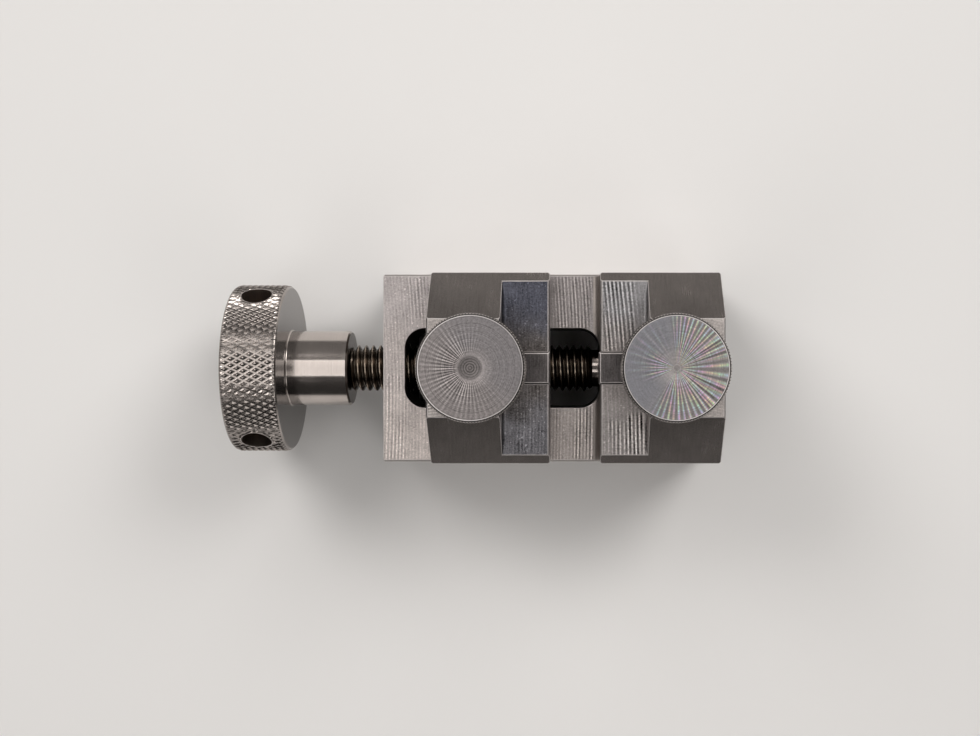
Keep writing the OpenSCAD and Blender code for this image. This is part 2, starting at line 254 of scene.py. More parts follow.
# Ground steel: scales of its scratches, low along the way that they run
SCRATCH_SCALES = {
    "x": (0.25, 5.0, 5.0), "y": (5.0, 0.25, 5.0), "z": (5.0, 5.0, 0.25), "slope": (4.0, 0.3, 0.3)
}


def ground_steel(name, colour, roughness, along="x", grain=0.3, depth=0.0015):
    """Smooth ground or finely milled steel, with faint straight scratches along one axis."""
    g = Graph(name)
    place = g.place()
    scratches = g.noise(g.stretched(place, SCRATCH_SCALES[along]), detail=3.0, roughness=0.6)
    clouds = g.noise(place, scale=0.18, detail=2.0, spot=5.0)
    grains = g.noise(place, scale=3.6, detail=3.0, roughness=0.75, spot=9.0)
    tone = g.add(1.0, g.around(scratches, grain), g.around(clouds, grain), g.around(grains, grain))
    height = g.add(g.times(scratches, 0.7), g.times(grains, 0.5))
    rough = g.add(roughness, g.around(clouds, 0.08), g.around(scratches, 0.04))
    return g.finish(g.tint(colour, tone), rough, height, depth * MM)


# Turned steel whose crests take a painted highlight on their top row: how softly that lit row
# begins, and the share of the gain that the shaded crests below it keep
TICK_SOFT = 0.08
SHADED_ROW_SHARE = 0.36


def turned_steel(
    name, colour, roughness, axis_point, axis="x", pitch=0.11, grain=0.25, depth=0.0008, crest=None,
    ticks=None
):
    """Turned steel, with fine rings along its axis and faint clouds.

    crest is (low, high, gain) for a thread or a knurl, a painted highlight on the crests and
    painted
    shade in the grooves: the tone rises to gain between two distances from the axis, which leaves
    the grooves dark. The last argument is (count, row), a painted highlight on the top row: above
    the height row only the middles of that many crests round the axis take the whole gain, and
    below it the crests take a share of it, as painted shade."""
    g = Graph(name)
    place = g.place(axis_point)
    scales = {"x": (1 / pitch, 0.05, 0.05), "z": (0.05, 0.05, 1 / pitch)}[axis]
    rings = g.noise(g.stretched(place, scales), detail=2.0, roughness=0.6)
    clouds = g.noise(place, scale=0.3, detail=2.0, spot=4.0)
    grains = g.noise(place, scale=5.0, detail=2.0, roughness=0.7, spot=9.0)
    tone = g.add(
        1.0, g.around(rings, grain), g.around(clouds, grain), g.around(grains, grain * 0.6)
    )
    # Painted highlight on the crests of a thread or a knurl, and painted shade in its grooves.
    if crest:
        low, high, gain = crest
        reach = g.vector("LENGTH", g.stretched(place, {"x": (0, 1, 1), "z": (1, 1, 0)}[axis]))
        # Painted highlight on the top row of crests, and painted shade on the rows below it.
        if ticks:
            count, row = ticks
            x, y, z = g.split(place)
            beat = g.math("COSINE", g.times(g.math("ARCTAN2", y, x), count))
            upper = g.spread(z, row - TICK_SOFT, row + TICK_SOFT)
            tick = g.times(g.spread(beat, -0.5, 0.35, gain, 0.8), upper)
            gain = g.add(tick, g.times(g.math("SUBTRACT", 1.0, upper), gain * SHADED_ROW_SHARE))
        tone = g.times(tone, g.spread(reach, low, high, 1.0, gain))
    height = g.add(g.times(rings, 0.75), g.times(grains, 0.25))
    rough = g.add(roughness, g.around(clouds, 0.06), g.around(rings, 0.03))
    return g.finish(g.tint(colour, tone), rough, height, depth * MM)


# Faced steel: pitch of the coil in its middle, and how far its painted highlight rays may turn to
# colours
COIL_PITCH = 0.38
MOST_PAINTED_RAINBOW = 0.85


def faced_steel(
    name, colour, roughness, centre, rings, rays, core, grain=0.5, cool=None, painted_rainbow=0.0,
    narrow=1.6
):
    """The faced top of a thumbscrew: fine rings round its centre, and straight rays across them,
    which are painted highlights where the lamps catch its turning marks.

    rings is (pitch, gain). rays lists families of these painted highlights, each as (count, wander,
    gain, direction, low, high, rise, fall). A family stands out where the heading from the centre
    is close to its direction, and between the distances rise and fall. core is (radius, tone, ring
    gain) of the darker middle, cool is (colour, direction) of the side that turns to that colour,
    the argument after cool is how far the painted highlights break up into colours, and a higher
    narrow makes them thinner."""
    g = Graph(name)
    place = g.place(centre)
    x, y, _ = g.split(place)
    flat = g.joined(x, y)
    reach = g.vector("LENGTH", flat)
    heading = g.vector("NORMALIZE", flat)
    ring_pitch, ring_gain = rings
    ringed = g.noise(g.joined(g.times(reach, 1 / ring_pitch)), detail=2.0, roughness=0.7)
    fray = g.noise(place, scale=1.6, detail=3.0, roughness=0.7, spot=6.0)
    grains = g.noise(place, scale=3.2, detail=3.0, roughness=0.75, spot=9.0)
    angle = g.math("ARCTAN2", y, x)
    core_r, core_tone, core_gain = core
    land = g.spread(reach, core_r, core_r * 1.12)
    land = g.times(land, g.spread(reach, core_r * 1.2, core_r * 1.45, 0.16, 0.0))
    tone = g.add(1.0, g.around(ringed, ring_gain), g.around(grains, grain), land)
    # A family's mean comes off again, so that its painted highlights don't lighten their whole side
    ray_mean = 0.46 / (narrow + 0.1)
    painted_glint = 0.0
    # Painted highlights: rays across the turning marks, where the lamps catch them.
    for spot, (count, wander, gain, direction, low, high, rise, fall) in enumerate(rays):
        swing = g.noise(g.stretched(heading, (2.6, 2.6, 1)), detail=1.0, spot=2.0 + spot)
        swing = g.around(swing, wander)
        wave = g.wave(g.add(g.times(angle, count), swing))
        own_scale = (count * 0.16, count * 0.16, 1)
        own = g.noise(g.stretched(heading, own_scale), detail=1.0, spot=8.0 + spot)
        fading = g.times(g.spread(reach, *rise), g.spread(reach, *fall, 1.0, 0.0))
        side = g.times(g.towards(heading, direction, low, high), fading)
        side = g.times(side, g.spread(fray, 0.25, 0.6, 0.6, 1.0))
        ray = g.times(g.math("POWER", wave, narrow), g.spread(own, 0.3, 0.62, 0.4, 1.15))
        ray = g.times(g.times(ray, side), g.spread(ringed, 0.35, 0.65, 0.6, 1.25))
        tone = g.add(tone, g.times(ray, gain), g.times(side, -ray_mean * gain))
        painted_glint = g.math("MAXIMUM", painted_glint, g.times(ray, gain))
    coil_gain = g.spread(reach, core_r * 0.3, core_r, core_gain, core_gain / 2)
    coil = g.times(g.math("SINE", g.times(reach, TAU / COIL_PITCH)), coil_gain)
    inside = g.spread(reach, core_r * 0.9, core_r, 1.0, 0.0)
    core_edge = g.spread(reach, core_r * 0.86, core_r, core_tone, 1.0)
    tone = g.times(tone, g.add(core_edge, g.times(coil, inside)))
    shade = g.tint(colour, tone)
    if cool:
        cool_colour, direction = cool
        cooled = g.times(g.towards(heading, direction, -0.35, 0.6), g.spread(reach, 0.5, 5.0))
        shade = g.blend(shade, g.tint(cool_colour, tone), cooled)
    # The painted highlights break up into pale colours.
    if painted_rainbow:
        own = g.noise(g.stretched(heading, (7, 7, 1)), detail=1.0, spot=8.0)
        hue = g.math("FRACT", g.add(g.times(reach, 0.19), g.times(own, 5.0), g.times(fray, 0.7)))
        band = g.node("CombineColor", {0: hue, 1: 0.36, 2: 1.0}, mode="HSV").outputs[0]
        share = g.math("MINIMUM", g.times(painted_glint, painted_rainbow), MOST_PAINTED_RAINBOW)
        shade = g.blend(shade, band, share, "MULTIPLY")
    height = g.add(g.times(ringed, 0.5), g.times(grains, 0.2))
    rough = g.add(roughness, g.around(ringed, 0.1), g.around(grains, 0.1))
    return g.finish(shade, rough, height, 0.004 * MM)


def oxide_steel(name):
    """Black oxide on the small screws, worn a little lighter on high spots."""
    g = Graph(name)
    place = g.place()
    grains = g.noise(place, scale=4.0, detail=3.0, roughness=0.7)
    clouds = g.noise(place, scale=0.8, detail=1.0, spot=3.0)
    tone = g.add(0.75, g.times(grains, 0.3), g.times(clouds, 0.3))
    rough = g.add(0.34, g.times(clouds, 0.12))
    return g.finish(g.tint((0.075, 0.072, 0.075), tone), rough, grains, 0.002 * MM)


# Thumbscrew heads: the starts of the knurl, and how far down its upper row of painted highlights
# reaches
THUMB_STARTS = 110
THUMB_LIT_ROW = 0.55


def thumb_knurl(name, centre):
    """The knurl of a thumbscrew's head, with painted shade in its grooves and painted highlights on
    its crests.
    """
    top = (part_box("fixed_jaw_thumbscrew")[1].z - FIXED_THUMB.z) / MM
    return turned_steel(
        name, (0.10, 0.092, 0.088), 0.28, centre, "z", 0.3, 0.4, 0.001, crest=(8.46, 8.58, 7.0),
        ticks=(THUMB_STARTS, top - THUMB_LIT_ROW)
    )


FINISH = {material.name: material for material in (
    # The base takes painted light and shade by side, and a painted shadow past x = 12.5 mm, where
    # the jaws shade its middle.
    milled_steel(
        "base_top", (0.47, 0.428, 0.415), 0.42, 0.575, (-260, -6), [
            (13.6, 19.6, 6.0, 16.0, 0.75), (16.9, 20.3, -16.0, -6.0, 1.0),
            (13.0, 14.9, -16.0, -6.0, 0.4), (-15.6, -12.0, -16.0, -1.0, 0.5),
            (-12.0, -8.0, 8.0, 16.0, 0.35)
        ], 1.4, 0.018, 1.2, away=((0.43, 0.396, 0.393), (0.52, 0.472, 0.452)), painted_shadow=(12.5, 0.72)
    ),
    # The fixed and the moving ledge take painted light and shade by side, towards +Y and -Y.
    milled_steel(
        "fixed_ledge", (0.30, 0.275, 0.267), 0.46, 0.66, (-240, -16), [
            (21.8, 27.2, 2.8, 15.0, 0.95), (25.6, 29.4, -15.0, -7.6, 1.4),
            (22.4, 26.0, -15.0, -8.8, 0.8)
        ], 1.55, 0.020, 1.1, away=((0.262, 0.257, 0.265), (0.33, 0.308, 0.302))
    ),
    milled_steel(
        "moving_ledge", (0.130, 0.118, 0.114), 0.42, 0.55, (-240, -6), [
            (7.0, 12.0, -14.0, 2.0, 0.8)
        ], 0.55, 0.006, 2.3, away=((0.088, 0.091, 0.114), (0.160, 0.157, 0.170))
    ),
    milled_steel(
        "jaw_top", (0.46, 0.425, 0.41), 0.50, 0.48, (10, -160), [
            (-8.0, -4.0, -8.0, -5.0, 1.0)
        ], 0.9, grain=1.2
    ),
    ground_steel("fillet", (0.44, 0.40, 0.375), 0.46, "y", 0.6, 0.002),
    ground_steel("slope", (0.258, 0.234, 0.222), 0.26, "slope", 0.5, 0.001),
    # A darker copy of the slope steel for the slopes that face -Y: painted shade.
    ground_steel("slope_painted_shade", (0.200, 0.181, 0.173), 0.26, "slope", 0.5, 0.001),
    ground_steel("wall", (0.44, 0.405, 0.39), 0.32, "y"),
    ground_steel("side", (0.57, 0.525, 0.505), 0.34, "x", 0.5, 0.002),
    # Light steel for the broken edges: partly wear along them, partly a painted highlight on their
    # bevels.
    ground_steel("edge", (0.56, 0.527, 0.517), 0.46, "x", 0.6, 0.001),
    milled_steel(
        "underside", (0.50, 0.46, 0.44), 0.45, 0.8, (-140, 10), [(-60, 60, -20, 20, 0.6)], 0.4
    ),
    # Nearly black steel for the inside of the slot: painted shade in the recess.
    ground_steel("slot_painted_shade", (0.075, 0.066, 0.06), 0.40, "z", 0.4, 0.002),
    turned_steel("bore", (0.40, 0.345, 0.31), 0.32, SCREW_AXIS, "x", 0.2, 0.4),
    ground_steel("key", (0.118, 0.108, 0.108), 0.40, "y", 1.3, 0.003),
    turned_steel("knurl", (0.38, 0.345, 0.325), 0.17, SCREW_AXIS, "x", 0.3, 0.4, 0.001),
    turned_steel("knob_face", (0.153, 0.141, 0.135), 0.14, SCREW_AXIS, "x", 0.3, 0.25, 0.0003),
    turned_steel("hub", (0.54, 0.49, 0.46), 0.16, SCREW_AXIS, "x", 0.12, 0.25, 0.0004),
    # A dark copy of the hub steel for the hub's end face and the bore's mouth: painted shade.
    turned_steel("hub_end_painted_shade", (0.11, 0.094, 0.083), 0.20, SCREW_AXIS, "x", 0.12, 0.25, 0.0004),
    # The thread takes a painted highlight on its crests and painted shade in its grooves.
    turned_steel(
        "thread", (0.10, 0.083, 0.068), 0.24, SCREW_AXIS, "x", 0.2, 0.3, 0.0006,
        crest=(3.78, 3.95, 3.3)
    ),
    turned_steel("journal", (0.50, 0.45, 0.42), 0.12, SCREW_AXIS, "x", 0.12, 0.25, 0.0004),
    # The thumbscrew tops take painted highlight rays across their turning marks.
    faced_steel(
        "fixed_top", (0.34, 0.318, 0.316), 0.36, FIXED_THUMB, (0.30, 0.4), [
            (31, 3.0, 1.6, (0.98, -0.20), 0.50, 0.80, (0.3, 1.2), (9.5, 13.0)),
            (57, 6.0, 1.7, (0.40, -0.92), 0.46, 0.80, (0.2, 0.8), (7.5, 12.0)),
            (73, 6.0, 1.7, (0.60, 0.80), 0.62, 0.93, (0.2, 0.8), (7.5, 12.0)),
            (47, 3.0, 1.9, (-1.0, 0.12), 0.74, 0.97, (0.5, 0.9), (2.6, 6.4)),
            (36, 4.0, 0.45, (-0.85, 0.5), 0.55, 0.95, (1.5, 4.0), (6.0, 9.5))
        ], (0.5, 0.86, 0.03), 0.8, cool=((0.268, 0.268, 0.292), (-0.97, 0.25)), painted_rainbow=0.7,
        narrow=2.4
    ),
    faced_steel(
        "moving_top", (0.272, 0.250, 0.248), 0.36, MOVING_THUMB, (0.24, 1.3), [
            (60, 1.5, 2.0, (-1.0, -0.15), -0.75, 0.85, (2.0, 2.4), (3.2, 7.4)),
            (60, 1.5, 0.5, (-0.6, -0.4), -1.0, 0.6, (2.0, 2.4), (7.0, 10.0))
        ], (1.95, 0.60, 0.24), 1.4, cool=((0.252, 0.238, 0.244), (0.75, 0.65))
    ),
    # The thumbscrew knurls take painted highlights on their crests and painted shade in their
    # grooves.
    thumb_knurl("fixed_knurl", FIXED_THUMB),
    thumb_knurl("moving_knurl", MOVING_THUMB),
    # Light steel for the narrow band at the rim of a thumbscrew's top: a painted highlight on that
    # band.
    turned_steel("rim_painted_highlight", (0.70, 0.67, 0.665), 0.30, FIXED_THUMB, "z", 0.15),
    turned_steel("thumb_turned", (0.50, 0.465, 0.45), 0.22, FIXED_THUMB, "z", 0.15),
    turned_steel("washer", (0.50, 0.47, 0.455), 0.26, MOVING_THUMB, "z", 0.2),
    oxide_steel("oxide"),
)}


# Pieces. Points closer than SAME_POINT are one, and a cut takes in what lies within ON_PLANE of it
SAME_POINT = 1e-6
ON_PLANE = 1e-7


def as_mesh(bm, name):
    """A mesh of what a bmesh holds. The bmesh is freed."""
    mesh = bpy.data.meshes.new(name)
    bm.to_mesh(mesh)
    bm.free()
    return mesh


def join(bm, other):
    """Adds what another bmesh holds, and frees the other."""
    mesh = as_mesh(other, "joined")
    bm.from_mesh(mesh)
    bpy.data.meshes.remove(mesh)


def add_piece(node, bm, finishes):
    """A piece that stands for a node and rides on its body, with the given finishes."""
    mesh = as_mesh(bm, node + "_steel")
    for finish in finishes:
        mesh.materials.append(FINISH[finish])
    piece = bpy.data.objects.new(node + "_steel", mesh)
    bpy.context.collection.objects.link(piece)
    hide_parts(node)
    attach(piece, BODY_OF[node])
    return piece


def settle_normals(piece):
    """Lets the larger faces set the shading, so that flats and flanks look even to their edges."""
    even = piece.modifiers.new("even faces", "WEIGHTED_NORMAL")
    even.mode = "FACE_AREA"
    even.weight = 100
    even.thresh = 1e-9
    even.keep_sharp = True


# Milled pieces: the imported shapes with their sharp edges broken. On a slope of the jaws, the
# distance from the middle and the height add up to SLOPE_SUM
SLOPE_SUM = BODY_HIGH.y + BASE_TOP + 5 * MM
LEDGE_FILLET = 0.7 * MM
EDGE_BREAK = 0.10 * MM
LARGE_FLAT = 15 * MM * MM
FLAT_ANGLE = math.radians(0.6)
CORNER_ANGLE = math.radians(28)


def milled_finish(node, normal, centre):
    """Name of a milled face's finish, told by where the face is and which way it looks."""
    ledge = "fixed_ledge" if node == "vise_body" else "moving_ledge"
    slot_half, slot_top, near = 7.2 * MM, BASE_TOP - 0.4 * MM, 0.3 * MM
    if node.endswith("key"):
        return "key"
    if node == "keeper_plate":
        return "underside" if abs(normal.z) > 0.9 else "side"
    if normal.z > 0.95:
        for top, finish in ((JAW_TOP, "jaw_top"), (LEDGE_TOP, ledge), (BASE_TOP, "base_top")):
            if centre.z > top - near:
                return finish
        # Upward faces below the base's top lie in the slot and take its painted shade.
        return "slot_painted_shade"
    # Downward faces above the bench lie in the slot and take its painted shade.
    if normal.z < -0.95:
        return "underside" if centre.z < 1 * MM else "slot_painted_shade"
    # The slot's walls take the same painted shade.
    if abs(centre.y) < slot_half and centre.z < slot_top and abs(normal.z) < 0.5:
        return "slot_painted_shade"
    # Slopes facing -Y take the darker copy of the slope steel, a painted shade.
    if abs(normal.y) > 0.6 and 0.6 < normal.z < 0.8 and centre.z > BASE_TOP + 4 * MM:
        return "slope" if normal.y > 0 else "slope_painted_shade"
    if abs(normal.y) > 0.9:
        return "side"
    if abs(normal.x) > 0.2 and 0.1 < normal.z < 0.95 and centre.z > slot_top:
        return "fillet" if centre.z < LEDGE_TOP - 1 * MM else ledge
    return "wall"


def taper_fillet(bm, wall_x):
    """Lets a ledge's fillet run out to nothing near the slopes, as its cutter leaves it."""
    cuts = (13.7, 13.4, 13.0, 12.6, 12.2)
    corner_y, full_y = SLOPE_SUM - LEDGE_TOP, cuts[-1] * MM

    def fillet_faces():
        found = []
        for face in bm.faces:
            centre = face.calc_center_median()
            near_wall = abs(centre.x - wall_x) < LEDGE_FILLET
            low_enough = 0 < centre.z - LEDGE_TOP < LEDGE_FILLET
            curved = abs(face.normal.x) > 0.02 and face.normal.z > 0.02
            if near_wall and low_enough and curved:
                found.append(face)
        return found

    for cut_y in cuts:
        for side in (1, -1):
            faces = fillet_faces()
            parts = dict.fromkeys(part for face in faces for part in (*face.edges, *face.verts))
            bmesh.ops.bisect_plane(
                bm, geom=[*faces, *parts], plane_co=(0, side * cut_y * MM, 0), plane_no=(0, 1, 0),
                dist=ON_PLANE
            )
    for vertex in {vertex for face in fillet_faces() for vertex in face.verts}:
        x, y, z = vertex.co
        share = min(1, max(0, (corner_y - abs(y)) / (corner_y - full_y)) ** 0.8)
        if abs(y) + z > SLOPE_SUM - 0.01 * MM:
            share = 0
            y = math.copysign(corner_y, y)
        vertex.co = (wall_x + (x - wall_x) * share, y, LEDGE_TOP + (z - LEDGE_TOP) * share)
    bmesh.ops.remove_doubles(bm, verts=bm.verts, dist=SAME_POINT)
    bm.normal_update()


def milled_piece(node):
    """A copy of a node's faces, joined up where flat, with its finishes and its edges broken."""
    bm = bmesh.new()
    bm.from_mesh(frame["nodes"][node].data)
    bmesh.ops.remove_doubles(bm, verts=bm.verts, dist=SAME_POINT)
    bmesh.ops.dissolve_limit(bm, angle_limit=FLAT_ANGLE, verts=bm.verts, edges=bm.edges)
    if node in LEDGE_WALL_X:
        taper_fillet(bm, LEDGE_WALL_X[node])
    outer = bm.edges.layers.float.new("bevel_weight_edge")
    for edge in bm.edges:
        if edge.is_convex and edge.calc_face_angle(0) > CORNER_ANGLE:
            edge[outer] = 1.0
    names = []
    for face in bm.faces:
        name = milled_finish(node, face.normal, face.calc_center_median())
        if name not in names:
            names.append(name)
        face.material_index = names.index(name)
        face.smooth = face.calc_area() < LARGE_FLAT
    piece = add_piece(node, bm, names + ["edge"])
    bevel = piece.modifiers.new("broken edges", "BEVEL")
    bevel.width = EDGE_BREAK
    bevel.segments = 2
    bevel.limit_method = "WEIGHT"
    bevel.use_clamp_overlap = False
    # The bevels take the light edge steel: partly wear, partly a painted highlight.
    bevel.material = len(names)
    settle_normals(piece)


# Turned pieces, drawn as rings about a local Z axis. Edges sharper than SHARP degrees stay crisp
SHARP = 40


def along_screw():
    """Carries the local axis to the lead screw's, with local X along +Y and local Y along +Z."""
    turn = Matrix(((0, 0, 1), (1, 0, 0), (0, 1, 0))).to_4x4()
    return Matrix.Translation(SCREW_AXIS) @ turn


def upright(point):
    return Matrix.Translation((point[0], point[1], 0))


def angle_of(vertex):
    return math.atan2(vertex.co.y, vertex.co.x)


def ring(bm, t, radius, count=192):
    """A loose ring of vertices, with its edges."""
    made = []
    for angle in (TAU * i / count for i in range(count)):
        made.append(bm.verts.new((radius * math.cos(angle), radius * math.sin(angle), t)))
    for i, vertex in enumerate(made):
        bm.edges.new((vertex, made[(i + 1) % count]))
    return made


def carry(bm, loop, points, finish):
    """Carries a loop of vertices on through the points (t, radius), and returns the last loop.

    A radius may be a function of the angle, and a radius of 0 ends the piece in a pole."""
    for t, radius in points:
        if radius == 0:
            pole = bm.verts.new((0, 0, t))
            for i, vertex in enumerate(loop):
                bm.faces.new((vertex, loop[(i + 1) % len(loop)], pole)).material_index = finish
            return None
        made = []
        for vertex in loop:
            angle = angle_of(vertex)
            reach = radius(angle) if callable(radius) else radius
            made.append(bm.verts.new((reach * math.cos(angle), reach * math.sin(angle), t)))
        for i, vertex in enumerate(loop):
            j = (i + 1) % len(loop)
            bm.faces.new((vertex, loop[j], made[j], made[i])).material_index = finish
        loop = made
    return loop


def bridge(bm, loop_a, loop_b, finish):
    """Joins two loops that may differ in their number of vertices."""
    edges = []
    for loop in (loop_a, loop_b):
        for i, vertex in enumerate(loop):
            edges.append(bm.edges.get((vertex, loop[(i + 1) % len(loop)])))
    made = bmesh.ops.bridge_loops(bm, edges=edges)
    for face in made["faces"]:
        face.material_index = finish


def rim_at(bm, t):
    """The open edge of a skin at t, as a loop of vertices."""
    edges = [
        edge for edge in bm.edges
        if edge.is_boundary and all(abs(vertex.co.z - t) < SAME_POINT for vertex in edge.verts)
    ]
    return sorted({vertex for edge in edges for vertex in edge.verts}, key=angle_of)


def trimmed(bm, t0, t1):
    """Cuts a skin square at both ends and returns its two end loops."""
    for t, side in ((t0, -1), (t1, 1)):
        bmesh.ops.bisect_plane(
            bm, geom=bm.verts[:] + bm.edges[:] + bm.faces[:], plane_co=(0, 0, t),
            plane_no=(0, 0, side), clear_outer=True, dist=ON_PLANE
        )
    bmesh.ops.remove_doubles(bm, verts=bm.verts, dist=2 * SAME_POINT)
    return rim_at(bm, t0), rim_at(bm, t1)


def skin_mesh(points, faces):
    """A bmesh of the points and faces of a skin."""
    mesh = bpy.data.meshes.new("skin")
    mesh.from_pydata(points.tolist(), [], faces)
    bm = bmesh.new()
    bm.from_mesh(mesh)
    bpy.data.meshes.remove(mesh)
    return bm


# One diamond of a knurl across a pitch: places of its mesh lines, and their heights from groove to
# crest. A land round a hole is pressed to LAND_HEIGHT
KNURL_LINES = (0, 0.12, 0.15, 0.40, 0.45, 0.55, 0.60, 0.85, 0.88)
KNURL_HEIGHTS = (0, 0.0, 0.06, 0.94, 1.0, 1.0, 0.94, 0.06, 0.0)
FINE_KNURL_LINES = (0, 0.09, 0.42, 0.58, 0.91)
FINE_KNURL_HEIGHTS = (0, 0.08, 1.0, 1.0, 0.08)
LAND_HEIGHT = 0.45


def knurl_skin(radius, depth, starts, lean_a, lean_b, t0, t1, end_limit, lines, heights, land=None):
    """Diamond knurl from two crossing families of grooves.

    lean_a and lean_b are their slopes to the axis, end_limit gives the highest radius at each place
    along the axis, and land says where the knurl is pressed even."""
    count = len(lines)
    lines, heights = np.array(lines), np.array(heights)
    pitch = TAU * radius / starts
    step = pitch / (lean_a + lean_b)
    first, last = -count, (math.ceil((t1 - t0) / step) + 1) * count
    b, d = np.meshgrid(np.arange(starts * count), np.arange(first, last + 1), indexing="ij")
    a = b + d
    u_a, u_b = a // count + lines[a % count], b // count + lines[b % count]
    t = t0 + (u_a - u_b) * step
    angle = (pitch * u_b + lean_b * (t - t0)) / radius
    height = np.minimum(heights[a % count], heights[b % count])
    if land:
        height = np.where(land(t, angle), LAND_HEIGHT, height)
    reach = np.minimum(radius - depth * (1 - height), end_limit(t))
    points = np.stack([reach * np.cos(angle), reach * np.sin(angle), t], axis=-1).reshape(-1, 3)
    width = last - first + 1
    faces = []
    for i in range(starts * count):
        across = ((i + 1) % (starts * count)) * width
        here = i * width
        for j in range(1, width - 1):
            quad = (here + j, here + j + 1, across + j, across + j - 1)
            in_a, in_b = (i + j + first) % count, i % count
            if in_a == in_b:
                faces += [(quad[0], quad[1], quad[2]), (quad[0], quad[2], quad[3])]
            elif in_a + in_b == count - 1:
                faces += [(quad[0], quad[1], quad[3]), (quad[1], quad[2], quad[3])]
            else:
                faces.append(quad)
    bm = skin_mesh(points, faces)
    return bm, trimmed(bm, t0, t1)


# A 60 degree thread across its pitch: places of its mesh lines, their heights from root to crest,
# and its depth as a share of the pitch
THREAD_LINES = (0, 0.03, 0.0625, 0.25, 0.4375, 0.5, 0.5625, 0.75, 0.9375, 0.97)
THREAD_HEIGHTS = (0, 0.01, 0.045, 0.52, 1.0, 1.0, 1.0, 0.52, 0.045, 0.01)
THREAD_DEPTH = 0.6134


def thread_skin(radius, pitch, t0, t1, r0, r1, crest_t, steps=48):
    """Right-hand thread from t0 to t1, where it runs out to the radii r0 and r1.

    crest_t is a place along the axis where the crest crosses local X."""
    count = len(THREAD_LINES)
    start = crest_t - pitch / 2 - math.ceil((crest_t - t0) / pitch + 1) * pitch
    turns = math.ceil((t1 - start) / pitch) + 1
    k, j = np.meshgrid(np.arange(turns * steps + 1), np.arange(count), indexing="ij")
    t = start + pitch * (k / steps + np.array(THREAD_LINES)[j])
    low = np.maximum(r0 - (t - t0), r1 - (t1 - t))
    high = np.minimum(np.minimum(r0 + (t - t0), r1 + (t1 - t)), radius)
    reach = radius - THREAD_DEPTH * pitch * (1 - np.array(THREAD_HEIGHTS)[j])
    reach = np.clip(reach, np.minimum(low, high), high)
    angle = TAU * k / steps
    points = np.stack([reach * np.cos(angle), reach * np.sin(angle), t], axis=-1).reshape(-1, 3)
    faces = []
    for i in range(turns * steps):
        for j in range(count):
            here, across = i * count + j, (i + 1) * count + j
            if j + 1 < count:
                faces.append((here, across, across + 1, here + 1))
            elif i + steps < turns * steps:
                after = (i + steps) * count
                faces.append((here, across, after + count, after))
    bm = skin_mesh(points, faces)
    return bm, trimmed(bm, t0, t1)


def turned_piece(node, bm, laid, finishes, sharp=SHARP):
    """Lays a turned bmesh on its axis and makes it a node's piece."""
    bm.transform(laid)
    bmesh.ops.recalc_face_normals(bm, faces=bm.faces)
    piece = add_piece(node, bm, finishes)
    shade_turned(piece.data, sharp)
    settle_normals(piece)
    return piece


def shade_turned(mesh, sharp):
    """Smooth round faces with crisp edges. The facets of a knurl stay flat."""
    flat_finish = np.array([material.name.endswith("knurl") for material in mesh.materials])
    index, corners = np.empty((2, len(mesh.polygons)), dtype=np.int32)
    mesh.polygons.foreach_get("material_index", index)
    mesh.polygons.foreach_get("loop_total", corners)
    flat = flat_finish[index]
    mesh.polygons.foreach_set("use_smooth", ~flat)
    mesh.set_sharp_from_angle(angle=math.radians(sharp))
    edge_at = np.empty(len(mesh.loops), dtype=np.int32)
    mesh.loops.foreach_get("edge_index", edge_at)
    crisp = np.empty(len(mesh.edges), dtype=bool)
    mesh.edges.foreach_get("use_edge_sharp", crisp)
    crisp[edge_at[np.repeat(flat, corners)]] = True
    mesh.edges.foreach_set("use_edge_sharp", crisp)


def drill(piece, drills):
    """Cuts turned solids out of a piece. Each is (matrix, points), with points as (t, radius)."""
    piece.modifiers.clear()
    cutters = []
    for laid, points in drills:
        bm = bmesh.new()
        first = ring(bm, *points[0], count=64)
        last = carry(bm, first, points[1:], 0)
        bm.faces.new(first)
        bm.faces.new(last)
        bm.transform(laid)
        bmesh.ops.recalc_face_normals(bm, faces=bm.faces)
        mesh = as_mesh(bm, "drill")
        mesh.materials.append(FINISH["bore"])
        cutter = bpy.data.objects.new("drill", mesh)
        bpy.context.collection.objects.link(cutter)
        cut = piece.modifiers.new("hole", "BOOLEAN")
        cut.object = cutter
        cut.operation = "DIFFERENCE"
        cut.solver = "EXACT"
        cut.material_mode = "TRANSFER"
        cutters.append(cutter)
    graph = bpy.context.evaluated_depsgraph_get()
    piece.data = bpy.data.meshes.new_from_object(piece.evaluated_get(graph))
    piece.modifiers.clear()
    shade_turned(piece.data, SHARP)
    settle_normals(piece)
    for cutter in cutters:
        bpy.data.objects.remove(cutter)


